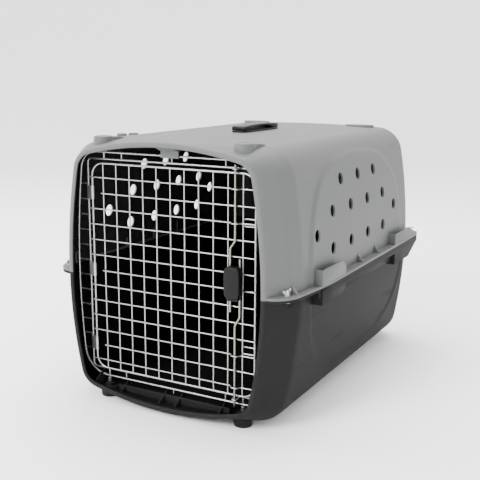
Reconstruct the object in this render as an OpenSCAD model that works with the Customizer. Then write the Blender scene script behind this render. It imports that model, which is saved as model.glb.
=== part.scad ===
// Pet transport carrier: two moulded tubs joined at a flange, a wire door in a
// wire frame, a squeeze latch with two rods, and a low lift-up handle.
// X runs across the door, Y from the door to the back, Z up from the floor.

/* [Body] */
// Half width of the tubs at the parting line
body_half_w = 205; // [195:1:215]
// Half width of the front rim at the parting line
rim_half_w = 176; // [170:1:180]
// Height of the parting line above the floor
parting_z = 210; // [205:1:215]
// Height of the roof at its edges
roof_z = 421; // [418:1:426]
// Height of the underside of the floor
floor_z = 13; // [11:1:15]
// Depth of the front rim, ahead of the door
rim_front = 23; // [20:1:26]
// Outer face of the back wall, behind the door
back_y = 565; // [540:1:580]
// Wall thickness of both tubs
wall = 3; // [2.5:0.1:3.5]
// Width of the thick bead round the front opening
bead = 7; // [6:0.5:8]

/* [Door] */
// Pitch of the door's wire mesh
pitch = 25; // [24.8:0.1:25.2]
// Diameter of the thin mesh wires
thin_d = 2.2; // [2:0.1:2.4]
// Diameter of the heavy wires of the door and the frame
heavy_d = 3.2; // [3:0.1:3.4]
// Diameter of the latch rods
rod_d = 3.5; // [3.2:0.1:3.8]

/* [Handle] */
// Length of the handle grip
grip_l = 128; // [124:1:134]
// Width of the handle grip
grip_w = 26; // [24:1:28]
// How far the grip lifts off the roof
grip_lift = 14; // [10:1:14]

/* [Hidden] */
$fn = 48;

thin_r = thin_d / 2;
heavy_r = heavy_d / 2;
rod_r = rod_d / 2;

// Shell sections: [half width, height of the corner's start, corner radius, crown, side bulge radius]
upper_body = [body_half_w, roof_z - parting_z - 50, 50, 3, 900];
upper_rim = [rim_half_w, 162, 36, 16.5, 900];
lower_body = [body_half_w, parting_z - floor_z - 45, 45, 0, 900];
lower_rim = [rim_half_w, 152, 34, 18.5, 680];
collar_end = 110;
back_r = 50;
side_n = 4;
corner_n = 6;
roof_n = 4;
collar_stations = [-rim_front, -rim_front + 6, -rim_front + 9, 2, 20, 45, collar_end];
collar_insets = [bead, bead, wall, wall, wall, wall, wall];
back_angles = [0, 22, 45, 68, 90];
flange_back = back_y + 7;
flange_half_w = 222;
mid_y = (flange_back - rim_front) / 2;
flange_t = 4;

// Door rows and columns: the first row and column and how many of each
row_top = 362;
row_count = 13;
col_left = -124.3;
col_count = 11;
door_left = -146;
door_right = 146;
door_top = 384.4;
door_bottom = 47.3;
door_corner = 20;
door_row_y = -heavy_r - thin_r + 0.3;
door_col_y = door_row_y + thin_d - 0.3;

// Frame wires behind the door
frame_y = 4;
frame_half_w = 157;
frame_top = 391;
frame_bottom = 45;
frame_corner = 7;
outer_top = 402;
outer_bottom = 33;
outer_mid_half_w = 181;
rung_y = frame_y + heavy_r + thin_r - 0.3;
rung_count = 12;
pin_x = 125;
pin_top = 413;
pin_foot = 23;

// Latch: the rods run in front of the mesh, either side of the latch's centre line
latch_x = 115.5;
spring_y = -10.5;
rod_y = door_row_y - thin_r - rod_r - 0.8;
rod_offset = 8;
latch_top = 249.5;
latch_bottom = 199;
cover_w = 26;
cover_front = -19;
cover_back = -5.2;
cover_t = 2;
upper_rod_tip = 397;
upper_rod_foot = 179;
lower_rod_tip = 31.5;
lower_rod_head = 260;
upper_jog = [275, 286];
lower_jog = [158, 172];
eyelet_top = 391;
eyelet_bottom = 37.5;

// Handle
handle_mid_y = 278;
base_l = grip_l + 6;
base_w = 32;
base_t = 3;
base_z = roof_z + 3.05;
grip_z = base_z + base_t + 0.4;
grip_h = 9;
leg_y = grip_l / 2 - 12;
leg_w = 14;
leg_t = 6;
leg_foot = base_z - 3 - grip_lift - 4;

bolt_r = 2.5;
bolt_spots = [[197, -1], [204, 557]];

function lerp(a, b, t) = a + (b - a) * t;
function flip(path) = [for (i = [len(path) - 1:-1:0]) path[i]];
function mirror_x(path) = [for (p = path) [-p[0], p[1]]];

// How far a section is blended from the body to the rim at depth y
function rim_share(y) = y >= collar_end ? 0 : pow((collar_end - y) / (collar_end + rim_front), 4);
function inset(s, d) = [s[0] - d, s[1], max(s[2] - d, 1), s[3], s[4]];
function side_x(s, h) = s[0] - h * h / (2 * s[4]);

// Points [x, height from the parting line] from one side over to the other
function half_right(s) =
    let (xc = side_x(s, s[1]) - s[2])
    concat([for (i = [0:side_n - 1]) let (h = s[1] * i / side_n) [side_x(s, h), h]],
           [for (i = [0:corner_n]) let (a = 90 * i / corner_n)
               [xc + s[2] * cos(a), s[1] + s[2] * sin(a)]],
           [for (i = [1:roof_n - 1]) let (x = xc * (1 - i / roof_n))
               [x, s[1] + s[2] + s[3] * (1 - pow(x / xc, 2))]]);
function outline(s) =
    concat(half_right(s), [[0, s[1] + s[2] + s[3]]], flip(mirror_x(half_right(s))));

// Stations [y, section] of the outer or the inner skin, shrunk by d all over
function skin(body, rim, insets, d) =
    concat([for (i = [0:len(collar_stations) - 1]) let (y = collar_stations[i])
               [y, inset(lerp(body, rim, rim_share(y)), insets[i])]],
           [for (a = back_angles)
               [back_y - back_r + (back_r - d) * sin(a), inset(body, d + (back_r - d) * (1 - cos(a)))]]);

// A tub as one closed skin. side is 1 for the upper tub and -1 for the lower one
module tub(body, rim, side) {
    outer = skin(body, rim, [for (s = collar_stations) 0], 0);
    inner = skin(body, rim, collar_insets, wall);
    last = len(outer) - 1;
    n = len(outline(body));
    points = concat(
        [for (s = outer) for (p = outline(s[1])) [p[0], s[0], parting_z + side * p[1]]],
        [for (s = inner) for (p = outline(s[1])) [p[0], s[0], parting_z + side * p[1]]]);
    m = (last + 1) * n;
    quads = concat(
        [for (i = [0:last - 1]) for (j = [0:n - 2])
            [i * n + j, i * n + j + 1, (i + 1) * n + j + 1, (i + 1) * n + j]],
        [for (i = [0:last - 1]) for (j = [0:n - 2])
            [m + (i + 1) * n + j, m + (i + 1) * n + j + 1, m + i * n + j + 1, m + i * n + j]],
        [for (j = [0:n - 2]) [m + j, m + j + 1, j + 1, j]],
        [for (i = [0:last - 1]) [i * n, (i + 1) * n, m + (i + 1) * n, m + i * n]],
        [for (i = [0:last - 1])
            [m + i * n + n - 1, m + (i + 1) * n + n - 1, (i + 1) * n + n - 1, i * n + n - 1]],
        [[last * n, last * n + n - 1, m + last * n + n - 1, m + last * n]]);
    fans = concat(
        [for (j = [1:n - 2]) [last * n, last * n + j, last * n + j + 1]],
        [for (j = [1:n - 2]) [m + last * n + j + 1, m + last * n + j, m + last * n]]);
    tris = concat([for (q = quads) [q[0], q[1], q[2]]], [for (q = quads) [q[0], q[2], q[3]]], fans);
    polyhedron(points, side > 0 ? tris : [for (t = tris) flip(t)]);
}

// Plan of the right wall's middle at the parting line
wall_plan = concat(
    [for (i = [1:len(collar_stations) - 1]) let (y = collar_stations[i])
        [lerp(upper_body, upper_rim, rim_share(y))[0] - wall / 2, y]],
    [for (a = back_angles)
        [body_half_w - wall / 2 - (back_r - wall / 2) * (1 - cos(a)),
         back_y - back_r + (back_r - wall / 2) * sin(a)]]);
flange_plan = [[177, -21], [196, -13], [206, -1], [212, 12], [215, 26], [flange_half_w, collar_end],
               [flange_half_w, back_y - 17], [back_y - 365, flange_back]];

// A ring that follows the flange from the front round the back, as wide as the wall lets it
module flange_ring(z, t) {
    translate([0, 0, z]) linear_extrude(t)
        polygon(concat(flange_plan, flip(mirror_x(flange_plan)), mirror_x(wall_plan), flip(wall_plan)));
}

module both_sides() {
    children();
    mirror([1, 0, 0]) children();
}

module place() {
    translate([0, -mid_y, 0]) children();
}

module wire(a, b, r) {
    d = b - a;
    len_ab = norm(d);
    translate(a) rotate([0, atan2(norm([d[0], d[1]]), d[2]), atan2(d[1], d[0])]) cylinder(h = len_ab, r = r);
}

// Wire bent through points that lie in one plane, mitred at each bend; axis is square to the plane
module bent_wire(pts, axis, r, closed) {
    sides = 14;
    n = len(pts);
    dirs = [for (i = [0:n - 1]) let (d = pts[(i + 1) % n] - pts[i]) d / norm(d)];
    rings = [for (i = [0:n - 1])
        let (ahead = !closed && i == n - 1 ? dirs[i - 1] : dirs[i],
             behind = closed ? dirs[(i + n - 1) % n] : i == 0 ? dirs[0] : dirs[i - 1],
             mid = (ahead + behind) / norm(ahead + behind),
             across = cross(axis, mid) / (mid * ahead))
        for (k = [0:sides - 1]) let (a = 360 * (k + 0.5) / sides)
            pts[i] + r * (across * cos(a) + axis * sin(a))];
    walls = [for (i = [0:closed ? n - 1 : n - 2]) for (k = [0:sides - 1])
        let (j = (i + 1) % n, m = (k + 1) % sides)
        [i * sides + k, j * sides + k, j * sides + m, i * sides + m]];
    ends = closed ? [] : [[for (k = [0:sides - 1]) k], [for (k = [sides - 1:-1:0]) (n - 1) * sides + k]];
    polyhedron(rings, concat(walls, ends));
}

// Quarter ring of wire in the X-Z plane, centred at [x, z] and starting at the given angle
module corner_wire(x, y, z, bend, r, start, sweep) {
    translate([x, y, z]) rotate([90, 0, 0]) rotate([0, 0, start])
        rotate_extrude(angle = sweep) translate([bend, 0]) circle(r);
}

// Closed rectangle of wire with round corners, in the plane y
module wire_rect(x0, x1, z0, z1, bend, y, r) {
    wire([x0 + bend, y, z0], [x1 - bend, y, z0], r);
    wire([x0 + bend, y, z1], [x1 - bend, y, z1], r);
    wire([x0, y, z0 + bend], [x0, y, z1 - bend], r);
    wire([x1, y, z0 + bend], [x1, y, z1 - bend], r);
    corner_wire(x1 - bend, y, z1 - bend, bend, r, 0, 90);
    corner_wire(x0 + bend, y, z1 - bend, bend, r, 90, 90);
    corner_wire(x0 + bend, y, z0 + bend, bend, r, 180, 90);
    corner_wire(x1 - bend, y, z0 + bend, bend, r, 270, 90);
}

// Upright triangular gusset between the flange and the side wall
module gusset(y, h, x_in, x_out) {
    translate([0, y + 1, parting_z + flange_t - 0.5]) rotate([90, 0, 0])
        linear_extrude(2) polygon([[x_in, 0], [x_out, 0], [x_in, h]]);
}

// Open pocket on the flange: an outer plate and two end plates
module side_pocket(y0, y1, z0, z1) {
    x_in = body_half_w - 2;
    for (y = [y0, y1 - 2.5]) translate([x_in, y, z0]) cube([flange_half_w - x_in - 1, 2.5, z1 - z0]);
    translate([flange_half_w - 3.5, y0, z0]) cube([2.5, y1 - y0, z1 - z0]);
}

module bolt_holes(z, t) {
    for (b = bolt_spots) both_sides() translate([b[0], b[1], z]) cylinder(h = t, r = bolt_r + 0.3);
}

module pin_socket(x, z0, z1) {
    translate([x, frame_y, z0]) cylinder(h = z1 - z0, r = heavy_r + 0.4);
}

// Round air hole through one side wall
module vent(side, y, z) {
    translate([side * flange_half_w, y, z]) rotate([0, 90, 0]) cylinder(h = 90, r = 10, center = true);
}

// Rows of air holes: side, height, first one, spacing, count
vent_rows = [[1, 360, 197, 76, 3], [1, 315, 152, 78, 4], [1, 257, 148, 78, 4], [1, 286, 88, 357, 2],
             [-1, 360, 209, 71, 3], [-1, 315, 182, 76, 4], [-1, 256, 179, 77, 4], [-1, 287, 114, 345, 2]];

module upper_shell() color([0.63, 0.64, 0.63]) place() {
    difference() {
        union() {
            tub(upper_body, upper_rim, 1);
            flange_ring(parting_z, flange_t);
            for (x = [-pin_x, pin_x]) translate([x, frame_y, outer_top + heavy_r + 0.8])
                cylinder(h = 427 - outer_top - heavy_r - 0.8, r = 15);
            both_sides() translate([112, 500, roof_z - 2]) cylinder(h = 6, r = 14);
            both_sides() for (y = [12.5, 251, 335]) gusset(y, 20, 194, y > 20 ? 220 : 210);
            both_sides() side_pocket(72, 167, parting_z + flange_t - 0.5, 238);
            both_sides() side_pocket(414, 520, parting_z + flange_t - 0.5, 234);
            tongue();
        }
        for (row = vent_rows) for (i = [0:row[4] - 1]) vent(row[0], row[2] + i * row[3], row[1]);
        for (x = [-pin_x, pin_x]) pin_socket(x, outer_top, pin_top + 1);
        bolt_holes(parting_z - 1, flange_t + 2);
        handle_cuts(roof_z - 6, 16);
    }
}

// Tab behind the top of the rim that hooks in front of the frame's outer wire
module tongue() {
    tab_y = frame_y - heavy_r - 0.4;
    translate([-16, 0, 0]) rotate([90, 0, 90]) linear_extrude(32)
        polygon([[tab_y - 2.5, 399], [tab_y, 399], [tab_y, 408], [tab_y + 8, 422], [tab_y - 16, 421.5],
                 [tab_y - 16, 416], [tab_y - 2.5, 409]]);
}

// Leg slots and screw holes through the roof and the base plate
module handle_cuts(z, h) {
    for (s = [-1, 1]) {
        translate([-leg_w / 2 - 0.5, handle_mid_y + s * leg_y - leg_t / 2 - 0.5, z])
            cube([leg_w + 1, leg_t + 1, h]);
        for (x = [-11, 11]) translate([x, handle_mid_y + s * (leg_y - 16), z]) cylinder(h = h, r = 2);
    }
}

module lower_shell() color([0.27, 0.27, 0.28]) place() {
    difference() {
        union() {
            tub(lower_body, lower_rim, -1);
            flange_ring(parting_z - flange_t, flange_t);
            lower_lip();
            for (x = [-pin_x, pin_x]) translate([x, frame_y, 0]) cylinder(h = 28, r = 14.5);
            both_sides() translate([120, 500, 0]) cylinder(h = floor_z + wall, r = 14.5);
            both_sides() side_pocket(72, 167, 184, parting_z - flange_t + 0.5);
            both_sides() side_pocket(414, 520, 178, parting_z - flange_t + 0.5);
            for (x = [-10, 7]) translate([x, -14, 7]) cube([3, 28, 20]);
            for (x = [-93, 90]) translate([x, -14, 15]) cube([3, 26, 9]);
        }
        for (x = [-pin_x, pin_x]) pin_socket(x, pin_foot - 1, 30);
        for (x = [-pin_x, pin_x]) translate([x, frame_y, pin_foot]) cylinder(h = 10, r = 3.4);
        bolt_holes(parting_z - flange_t - 1, flange_t + 2);
    }
}

// Turned-down lip along the lower flange's sides
module lower_lip() {
    both_sides() translate([flange_half_w - 3, collar_end + 60, parting_z - 20])
        cube([2, 244, 20 - flange_t + 0.5]);
}

module frame_outer_wire() color([0.78, 0.79, 0.8]) place() {
    side = [for (i = [0:8]) let (z = lerp(outer_bottom + 45, outer_top - 30, i / 8),
                                 f = (z - parting_z) / 170)
            [outer_mid_half_w - 11 * f * f, frame_y, z]];
    top = [for (i = [1:4]) let (a = i * 22.5)
        [side[8][0] - 30 + 30 * cos(a), frame_y, side[8][2] + 30 * sin(a)]];
    low = [for (i = [4:-1:1]) let (a = i * 22.5)
        [side[0][0] - 45 + 45 * cos(a), frame_y, side[0][2] - 45 * sin(a)]];
    right = concat(low, side, top);
    bent_wire(concat(right, flip([for (p = right) [-p[0], p[1], p[2]]])), [0, 1, 0], heavy_r, true);
}

module frame_inner_wire() color([0.78, 0.79, 0.8]) place()
    wire_rect(-frame_half_w, frame_half_w, frame_bottom, frame_top, frame_corner, frame_y, heavy_r);

// Short wires welded behind the two frame wires
module frame_rungs() color([0.74, 0.75, 0.76]) place() {
    for (i = [0:rung_count - 1]) {
        z = 349.5 - i * pitch;
        f = (z - parting_z) / 170;
        x_out = outer_mid_half_w - 11 * f * f + 1;
        both_sides() wire([frame_half_w - 1.2, rung_y, z], [x_out, rung_y, z], thin_r);
    }
    both_sides() wire([93, rung_y, frame_top - 1.2], [93, rung_y, outer_top + 1.2], thin_r);
    both_sides() wire([93, rung_y, outer_bottom - 1.2], [93, rung_y, frame_bottom + 1.2], thin_r);
    wire([0, rung_y, frame_top - 1.2], [0, rung_y, outer_top + 1.2], thin_r);
}

module frame_pins() color([0.8, 0.81, 0.82]) place() {
    pin_y = frame_y;
    for (x = [-pin_x, pin_x]) {
        wire([x, pin_y, outer_top + heavy_r - 0.3], [x, pin_y, pin_top], heavy_r);
        wire([x, pin_y, frame_top + heavy_r - 0.3], [x, pin_y, outer_top - heavy_r + 0.3], heavy_r);
        wire([x, pin_y, pin_foot + 1], [x, pin_y, outer_bottom - heavy_r + 0.3], heavy_r);
        wire([x, pin_y, outer_bottom + heavy_r - 0.3], [x, pin_y, frame_bottom - heavy_r + 0.3], heavy_r);
    }
    wire([0, pin_y, 26], [0, pin_y, outer_bottom - heavy_r + 0.3], thin_r);
}

// Flared sleeves in the lower sockets
module frame_pin_sleeves() color([0.7, 0.7, 0.7]) place()
    for (x = [-pin_x, pin_x]) translate([x, frame_y, pin_foot]) difference() {
        union() {
            cylinder(h = 6, r = 3.2);
            translate([0, 0, 5]) cylinder(h = 1.5, r = 3.2);
        }
        translate([0, 0, 1]) cylinder(h = 8, r = heavy_r);
    }

// Loops round the latch rods, welded on the front of the frame's inner wire
module rod_eyelets() color([0.8, 0.81, 0.82]) place() for (z = [eyelet_top, eyelet_bottom]) {
    gap = rod_r + 0.6 + thin_r;
    y_weld = frame_y - heavy_r - thin_r + 0.3;
    translate([latch_x, rod_y, z]) rotate([0, 0, 180])
        rotate_extrude(angle = 180) translate([gap, 0]) circle(thin_r);
    for (s = [-1, 1]) {
        wire([latch_x + s * gap, rod_y, z], [latch_x + s * gap, y_weld + 0.2, z], thin_r);
        z_in = z > 200 ? frame_top : frame_bottom;
        wire([latch_x + s * gap, y_weld, z - sign(z_in - z) * thin_r],
             [latch_x + s * gap, y_weld, z_in], thin_r);
    }
}

module flange_bolts() color([0.8, 0.8, 0.82]) place() for (b = bolt_spots) both_sides()
    translate([b[0], b[1], parting_z - flange_t]) {
        translate([0, 0, -2.2]) cylinder(h = 2.2, r = 4.6);
        cylinder(h = 2 * flange_t + 9, r = bolt_r);
    }

module flange_washers() color([0.75, 0.75, 0.77]) place() for (b = bolt_spots) both_sides()
    translate([b[0], b[1], parting_z + flange_t]) difference() {
        cylinder(h = 0.8, r = 5);
        translate([0, 0, -1]) cylinder(h = 3, r = bolt_r + 0.1);
    }

// Side outline of one wing
wing_shape = [[0, 0], [3.5, 0.5], [6.2, 4], [6.4, 7], [4.6, 7.4], [3, 4.5], [0, 3]];

module wing_nuts() color([0.8, 0.8, 0.82]) place() for (b = bolt_spots) both_sides()
    translate([b[0], b[1], parting_z + flange_t + 0.8]) rotate([0, 0, b[1] < 100 ? 80 : 60]) difference() {
        union() {
            cylinder(h = 4.5, r = 3.9);
            for (s = [0, 180]) rotate([0, 0, s]) translate([3, 1, 1.5]) rotate([90, 0, 0])
                linear_extrude(2) polygon(wing_shape);
        }
        translate([0, 0, -1]) cylinder(h = 12, r = bolt_r + 0.1);
    }

module handle_base() color([0.09, 0.09, 0.09]) place() difference() {
    translate([0, handle_mid_y, base_z]) linear_extrude(base_t) union() {
        square([base_w, base_l - base_w], center = true);
        for (s = [-1, 1]) translate([0, s * (base_l - base_w) / 2]) circle(base_w / 2);
    }
    handle_cuts(base_z - 1, base_t + 2);
}

module handle_screws() color([0.2, 0.2, 0.2]) place()
    for (s = [-1, 1]) for (x = [-11, 11]) translate([x, handle_mid_y + s * (leg_y - 16), roof_z - 4]) {
        cylinder(h = base_z - roof_z + 4 + base_t - 1.2, r = 1.9);
        translate([0, 0, base_z - roof_z + 4 + base_t - 2.2]) cylinder(h = 1.9, r = 1.95);
    }

// Grip: an arch over a finger gap, with a leg at each end
module handle_grip() color([0.08, 0.08, 0.08]) place() {
    half = grip_l / 2;
    gap_half = 40;
    translate([-grip_w / 2, handle_mid_y, grip_z]) rotate([90, 0, 90]) linear_extrude(grip_w)
        polygon(concat([[-half, 0], [-half, 6]],
                       [for (i = [0:10]) let (u = i / 5 - 1) [u * (half - 6), grip_h - 2.5 * u * u]],
                       [[half, 6], [half, 0], [gap_half, 0]],
                       [for (i = [0:8]) let (u = 1 - i / 4) [u * (gap_half - 3), 5.2 * (1 - pow(u, 4))]],
                       [[-gap_half, 0]]));
    for (s = [-1, 1]) translate([-leg_w / 2, handle_mid_y + s * leg_y - leg_t / 2, leg_foot])
        cube([leg_w, leg_t, grip_z - leg_foot + 0.5]);
}

// Clips on the legs' ends that stop the lift under the roof
module handle_stop_clips() color([0.12, 0.12, 0.12]) place()
    for (s = [-1, 1]) translate([0, handle_mid_y + s * leg_y, leg_foot]) difference() {
        translate([-leg_w / 2 - 4, -leg_t / 2 - 3, 0]) cube([leg_w + 8, leg_t + 6, 3]);
        translate([-leg_w / 2, -leg_t / 2, -1]) cube([leg_w, leg_t, 5]);
    }

module door_rim_wire() color([0.82, 0.83, 0.84]) place()
    wire_rect(door_left, door_right, door_bottom, door_top, door_corner, 0, heavy_r);

module door_vertical_wires() color([0.8, 0.81, 0.82]) place() for (i = [0:col_count - 1])
    wire([col_left + i * pitch, door_col_y, door_bottom + heavy_r - 0.3],
         [col_left + i * pitch, door_col_y, door_top - heavy_r + 0.3], thin_r);

// Row numbers: rows that bow round the rods, and rows cut short beside the hinge straps
guide_rows = [0, 2, 10, 12];
short_rows = [1, 6, 11];
function row_z(i) = row_top - i * pitch;
function has(list, v) = len([for (e = list) if (e == v) e]) > 0;

module door_horizontal_wires() color([0.8, 0.81, 0.82]) place()
    for (i = [0:row_count - 1]) if (!has(guide_rows, i))
        wire([has(short_rows, i) ? col_left - 3 : door_left - 3, door_row_y, row_z(i)],
             [door_right + 1, door_row_y, row_z(i)], thin_r);

module door_guide_wires() color([0.8, 0.81, 0.82]) place() for (i = guide_rows) {
    bow = rod_y - rod_r - thin_r - 0.5;
    bent_wire([[door_left - 3, door_row_y, row_z(i)], [latch_x - 9, door_row_y, row_z(i)],
               [latch_x - 4, bow, row_z(i)], [latch_x + 4, bow, row_z(i)],
               [latch_x + 9, door_row_y, row_z(i)], [door_right + 1, door_row_y, row_z(i)]],
              [0, 0, 1], thin_r, false);
}

// U-shaped loops round the last upright, welded behind the door's right side
module door_side_loops() color([0.8, 0.81, 0.82]) place() for (z = [313, 120]) {
    loop_y = heavy_r + thin_r - 0.3;
    bend = 5.5;
    x_bend = col_left + (col_count - 1) * pitch + 3.5;
    for (s = [-1, 1])
        wire([x_bend, loop_y, z + s * bend], [door_right + 1.2, loop_y, z + s * bend], thin_r);
    corner_wire(x_bend, loop_y, z, bend, thin_r, 90, 180);
}

// Strap of sheet metal crimped on the frame's wire; the door's wire turns in its other end
module hinge_strap(z) {
    gauge = 1;
    grip = 0.05;
    loose = 0.1;
    frame_c = [-frame_half_w, frame_y];
    door_c = [door_left, 0];
    color([0.76, 0.77, 0.78]) place() translate([0, 0, z - 10.8]) linear_extrude(21.6) difference() {
        union() {
            translate(frame_c) circle(heavy_r + gauge);
            translate(door_c) circle(heavy_r + loose + gauge);
            strap_web(frame_c, door_c, 2 * (heavy_r + gauge));
        }
        translate(frame_c) circle(heavy_r - grip);
        translate(door_c) circle(heavy_r + loose);
        strap_web(frame_c, door_c, 2 * heavy_r - 1.4);
    }
}

// Bar between two centres, as wide as given
module strap_web(a, b, w) {
    d = b - a;
    translate(a) rotate([0, 0, atan2(d[1], d[0])]) translate([0, -w / 2]) square([norm(d), w]);
}

module latch_cover() color([0.1, 0.1, 0.1]) place() difference() {
    translate([latch_x - cover_w / 2, cover_front, latch_bottom + 3]) difference() {
        cube([cover_w, cover_back - cover_front, latch_top - latch_bottom - 3]);
        translate([cover_t, cover_t, -1])
            cube([cover_w - 2 * cover_t, cover_back - cover_front, latch_top - latch_bottom - 1 - cover_t]);
    }
    translate([latch_x - rod_offset, rod_y, latch_bottom]) cylinder(h = 60, r = rod_r);
    translate([latch_x + rod_offset, rod_y, latch_bottom]) cylinder(h = 60, r = rod_r + 0.4);
}

module latch_slide() color([0.13, 0.13, 0.13]) place() difference() {
    translate([latch_x, 0, 0]) union() {
        translate([3 - cover_w / 2, cover_front + 2.6, latch_bottom])
            cube([cover_w - 6, cover_back - cover_front - 3, 20]);
        translate([3 - cover_w / 2, cover_front + 2.6, latch_bottom - 1])
            cube([cover_w - 6, cover_back - cover_front - 3, 2]);
    }
    translate([latch_x - rod_offset, rod_y, latch_bottom - 5]) cylinder(h = 60, r = rod_r + 0.4);
    translate([latch_x + rod_offset, rod_y, latch_bottom - 5]) cylinder(h = 60, r = rod_r);
    translate([latch_x, spring_y, latch_bottom + 12]) cylinder(h = 60, r = 3.6);
}

// A latch rod: straight, with a sideways jog between two heights
module latch_rod(z0, z1, jog, x_low, x_high) color([0.76, 0.74, 0.66]) place()
    bent_wire([[x_low, rod_y, z0], [x_low, rod_y, jog[0]], [x_high, rod_y, jog[1]], [x_high, rod_y, z1]],
              [0, 1, 0], rod_r, false);

module upper_latch_rod() latch_rod(upper_rod_foot, upper_rod_tip, upper_jog, latch_x - rod_offset, latch_x);
module lower_latch_rod() latch_rod(lower_rod_tip, lower_rod_head, lower_jog, latch_x, latch_x + rod_offset);

// Compression spring, as stacked rings joined into one open coil outline
module latch_spring() color([0.6, 0.6, 0.62]) place() {
    z0 = latch_bottom + 12.2;
    z1 = latch_top - cover_t - 0.2;
    turns = 7;
    translate([latch_x, spring_y, z0]) difference() {
        union() {
            cylinder(h = z1 - z0, r = 2.6);
            for (i = [0:turns]) translate([0, 0, i * (z1 - z0 - 0.9) / turns]) cylinder(h = 0.9, r = 3.1);
        }
        translate([0, 0, -1]) cylinder(h = z1 - z0 + 2, r = 2.1);
    }
}

lower_shell();
upper_shell();
frame_outer_wire();
frame_inner_wire();
frame_rungs();
frame_pins();
frame_pin_sleeves();
rod_eyelets();
flange_bolts();
flange_washers();
wing_nuts();
handle_base();
handle_screws();
handle_grip();
handle_stop_clips();
door_rim_wire();
door_vertical_wires();
door_horizontal_wires();
door_guide_wires();
door_side_loops();
hinge_strap(row_z(1));  // hinge_strap_upper
hinge_strap(row_z(6));  // hinge_strap_middle
hinge_strap(row_z(11));  // hinge_strap_lower
latch_cover();
upper_latch_rod();
latch_slide();
lower_latch_rod();
latch_spring();
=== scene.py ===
import math
import bpy
import bmesh
import numpy as np
from mathutils import Matrix, Vector


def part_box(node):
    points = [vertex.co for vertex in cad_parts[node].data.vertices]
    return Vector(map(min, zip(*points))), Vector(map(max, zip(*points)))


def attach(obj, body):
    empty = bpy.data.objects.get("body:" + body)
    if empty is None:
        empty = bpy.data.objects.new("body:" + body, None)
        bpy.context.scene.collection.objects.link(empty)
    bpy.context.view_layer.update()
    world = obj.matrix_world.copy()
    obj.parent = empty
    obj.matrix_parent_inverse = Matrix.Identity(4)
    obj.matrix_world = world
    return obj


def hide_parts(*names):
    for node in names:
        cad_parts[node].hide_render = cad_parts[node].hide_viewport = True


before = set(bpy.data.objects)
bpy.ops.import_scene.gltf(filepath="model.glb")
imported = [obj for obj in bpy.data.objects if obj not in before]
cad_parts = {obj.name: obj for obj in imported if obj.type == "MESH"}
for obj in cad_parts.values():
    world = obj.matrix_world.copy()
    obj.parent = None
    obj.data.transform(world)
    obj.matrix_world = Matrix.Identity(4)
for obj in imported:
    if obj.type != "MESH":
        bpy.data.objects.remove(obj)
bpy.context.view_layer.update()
mm = 0.001
print("stage: frame loaded")

# Pieces are drawn in mm: x from the door's middle, y from its rim wire, z from the floor
rimLow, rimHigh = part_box("door_rim_wire")
doorY = (rimLow[1] + rimHigh[1]) / 2
heavyR = (rimHigh[1] - rimLow[1]) / 2 / mm
doorSpan = {"left": rimLow[0] / mm + heavyR, "right": rimHigh[0] / mm - heavyR,
            "bottom": rimLow[2] / mm + heavyR, "top": rimHigh[2] / mm - heavyR}
upperLow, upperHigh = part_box("upper_shell")
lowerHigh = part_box("lower_shell")[1]
rimForward, backInset = 6, 7
rimY = (upperLow[1] - doorY) / mm - rimForward
partingZ = lowerHigh[2] / mm
flangeHalf = upperHigh[0] / mm
flangeBack = (upperHigh[1] - doorY) / mm
backY = flangeBack - backInset


def put(x, y, z):
    return Vector((x * mm, doorY + y * mm, z * mm))


# Shader wiring: sums on signals become Math nodes
class Signal:
    def __init__(self, maker, socket):
        self.maker, self.socket = maker, socket

    def sums(self, operation, first, second):
        return self.maker.node("ShaderNodeMath", {"operation": operation}, {0: first, 1: second})

    def __add__(self, other):
        return self.sums("ADD", self, other)

    def __radd__(self, other):
        return self.sums("ADD", other, self)

    def __sub__(self, other):
        return self.sums("SUBTRACT", self, other)

    def __rsub__(self, other):
        return self.sums("SUBTRACT", other, self)

    def __mul__(self, other):
        return self.sums("MULTIPLY", self, other)

    def __rmul__(self, other):
        return self.sums("MULTIPLY", other, self)


class MaterialMaker:
    def __init__(self, name):
        self.material = bpy.data.materials.new(name)
        self.material.use_nodes = True
        self.tree = self.material.node_tree
        self.tree.nodes.clear()
        self.shader = self.tree.nodes.new("ShaderNodeBsdfPrincipled")
        output = self.tree.nodes.new("ShaderNodeOutputMaterial")
        self.tree.links.new(self.shader.outputs["BSDF"], output.inputs["Surface"])
        self.place = self.node("ShaderNodeTexCoord", {}, {}, "Object")

    def node(self, kind, settings, inputs, output=0):
        node = self.tree.nodes.new(kind)
        for key, value in settings.items():
            if key == "stops":
                for element, (position, shade) in zip(node.color_ramp.elements, value):
                    element.position = position
                    element.color = (shade, shade, shade, 1)
            else:
                setattr(node, key, value)
        for key, value in inputs.items():
            self.feed(node.inputs[key], value)
        return Signal(self, node.outputs[output])

    def feed(self, socket, value):
        if isinstance(value, Signal):
            self.tree.links.new(value.socket, socket)
        else:
            socket.default_value = value

    def noise(self, scale, detail=2.0, stretch=None):
        place = self.place
        if stretch:
            place = self.node("ShaderNodeMapping", {}, {"Vector": place, "Scale": stretch})
        return self.node("ShaderNodeTexNoise", {}, {"Vector": place, "Scale": scale, "Detail": detail})

    def ramp(self, signal, low, high):
        return self.node("ShaderNodeValToRGB", {"stops": [(low, 0.0), (high, 1.0)]}, {"Fac": signal})

    def mix(self, factor, first, second):
        return self.node("ShaderNodeMix", {"data_type": "RGBA"}, {0: factor, 6: first, 7: second}, 2)

    def finish(self, **inputs):
        for key, value in inputs.items():
            self.feed(self.shader.inputs[key.replace("_", " ")], value)
        return self.material


def tint(colour, factor):
    return (*[min(1.0, part * factor) for part in colour], 1)


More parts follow.
